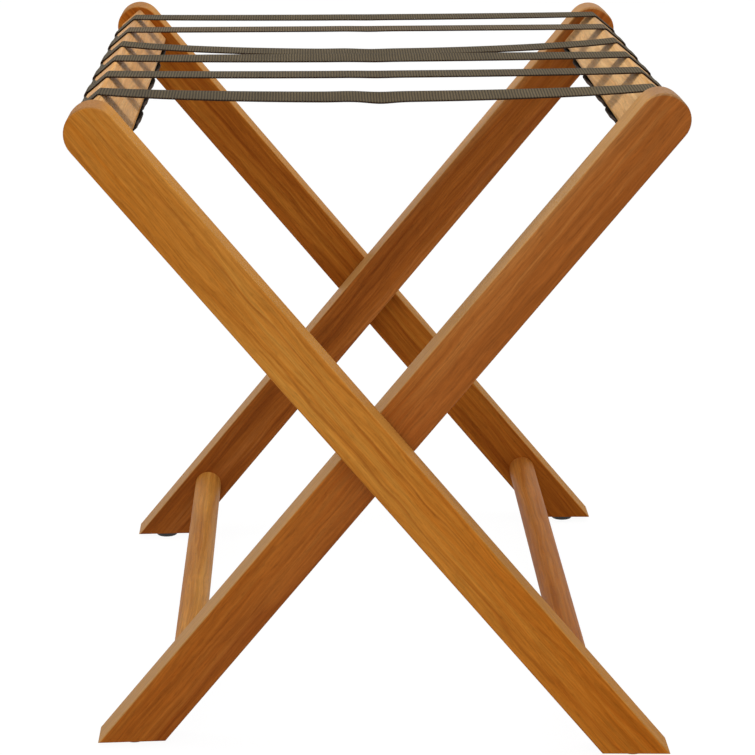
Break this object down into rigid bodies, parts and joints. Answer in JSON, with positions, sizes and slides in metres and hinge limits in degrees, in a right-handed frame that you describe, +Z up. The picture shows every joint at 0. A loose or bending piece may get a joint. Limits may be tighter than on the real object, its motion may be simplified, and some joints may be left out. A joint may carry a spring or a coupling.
{
  "type": "folding luggage rack",
  "caption": "X-frame folding luggage rack: crossed, pivoting hardwood frames with flat top rails and round stretchers, joined across the top by flat webbing straps.",
  "frame": {"origin": "on the floor, at the centre of the rack's footprint and of its box", "axes": "+Z up, +Y along the rails from the front legs to the back legs, +X from the outer frame's top rail to the inner frame's top rail"},
  "size_m": [0.453, 0.615, 0.5041],
  "materials": {
    "outer_leg_wood": "oiled hardwood, satin, warm orange brown with straight grain along the leg",
    "inner_leg_wood": "oiled hardwood, satin, darker red brown with straight grain along the leg",
    "rail_wood": "oiled hardwood, pale sapwood, satin",
    "outer_stretcher_wood": "turned oiled hardwood, satin",
    "inner_stretcher_wood": "turned oiled hardwood, pale brown, satin",
    "dowel_wood": "plain beech dowel",
    "webbing": "ribbed flat webbing, olive brown grey, matt",
    "foot_plastic": "black plastic, matt",
    "steel": "bright zinc plated"
  },
  "bodies": {
    "outer_frame": {"outer_leg_front": "outer_leg_wood", "outer_rail_dowel_front_1": "dowel_wood", "outer_rail_dowel_front_2": "dowel_wood", "outer_foot_pad_front": "foot_plastic", "outer_foot_nail_front": "steel", "outer_leg_back": "outer_leg_wood", "outer_rail_dowel_back_1": "dowel_wood", "outer_rail_dowel_back_2": "dowel_wood", "outer_foot_pad_back": "foot_plastic", "outer_foot_nail_back": "steel", "outer_rail": "rail_wood", "outer_stretcher": "outer_stretcher_wood", "outer_strap_end_1": "webbing", "outer_strap_tack_1": "steel", "outer_strap_end_2": "webbing", "outer_strap_tack_2": "steel", "outer_strap_end_3": "webbing", "outer_strap_tack_3": "steel", "outer_strap_end_4": "webbing", "outer_strap_tack_4": "steel", "outer_strap_end_5": "webbing", "outer_strap_tack_5": "steel", "outer_strap_end_6": "webbing", "outer_strap_tack_6": "steel", "strap_span_1": "webbing", "strap_span_2": "webbing", "strap_span_3": "webbing", "strap_span_4": "webbing", "strap_span_5": "webbing", "strap_span_6": "webbing", "pivot_pin_front": "steel", "pivot_washer_front": "steel", "pivot_pin_back": "steel", "pivot_washer_back": "steel"},
    "inner_frame": {"inner_leg_front": "inner_leg_wood", "inner_rail_dowel_front_1": "dowel_wood", "inner_rail_dowel_front_2": "dowel_wood", "inner_foot_pad_front": "foot_plastic", "inner_foot_nail_front": "steel", "inner_leg_back": "inner_leg_wood", "inner_rail_dowel_back_1": "dowel_wood", "inner_rail_dowel_back_2": "dowel_wood", "inner_foot_pad_back": "foot_plastic", "inner_foot_nail_back": "steel", "inner_rail": "rail_wood", "inner_stretcher": "inner_stretcher_wood", "inner_strap_end_1": "webbing", "inner_strap_tack_1": "steel", "inner_strap_end_2": "webbing", "inner_strap_tack_2": "steel", "inner_strap_end_3": "webbing", "inner_strap_tack_3": "steel", "inner_strap_end_4": "webbing", "inner_strap_tack_4": "steel", "inner_strap_end_5": "webbing", "inner_strap_tack_5": "steel", "inner_strap_end_6": "webbing", "inner_strap_tack_6": "steel"}
  },
  "joints": [
    {"name": "fold", "type": "hinge", "parent": "outer_frame", "child": "inner_frame", "pos_m": [0, 0, 0.2362], "axis": [0, -1, 0], "range_deg": [0, 71.6], "deforming": ["strap_span_1", "strap_span_2", "strap_span_3", "strap_span_4", "strap_span_5", "strap_span_6"]}
  ]
}
